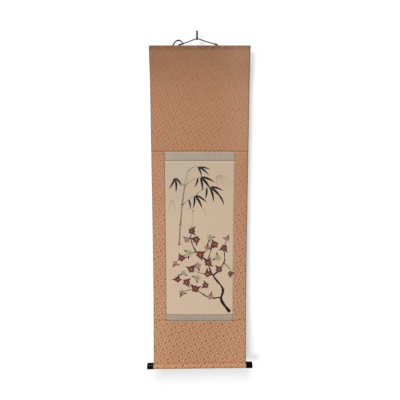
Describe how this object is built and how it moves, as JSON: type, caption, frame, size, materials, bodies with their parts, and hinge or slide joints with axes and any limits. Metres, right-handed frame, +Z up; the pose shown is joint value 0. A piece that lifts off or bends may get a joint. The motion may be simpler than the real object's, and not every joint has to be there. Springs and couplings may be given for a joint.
{
  "type": "hanging scroll and hook",
  "caption": "Upright hanging scroll in a patterned silk mounting with a paper picture panel, top rod, roller with black end knobs, cord and winding ribbon, hung on a small wall hook",
  "frame": {"origin": "on the flat back face of the hook, where it meets the wall, 10 mm below its upper end", "axes": "+Z is up, -Y is the way the picture faces, +X is to the right as seen from the front"},
  "size_m": [0.619, 0.0712, 1.9146],
  "materials": {
    "silk": "patterned silk, light brown",
    "brocade": "fine brocade, greyish beige",
    "paper": "matt, aged",
    "wood": "planed",
    "lacquer": "black lacquer, glossy",
    "eyelet_metal": "blackened",
    "cord": "braided, dull",
    "ribbon": "woven, dull",
    "hook_metal": "dark, satin"
  },
  "bodies": {
    "root": {"ten": "silk", "chi": "silk", "hashira_left": "silk", "hashira_right": "silk", "ichimonji_top": "brocade", "ichimonji_bottom": "brocade", "honshi": "paper", "hasso": "wood", "jikubo": "wood", "jikusaki_left": "lacquer", "jikusaki_right": "lacquer", "kan_left": "eyelet_metal", "kan_right": "eyelet_metal", "kakeo": "cord", "makio": "ribbon", "makio_knot": "ribbon", "hook": "hook_metal"}
  },
  "joints": []
}
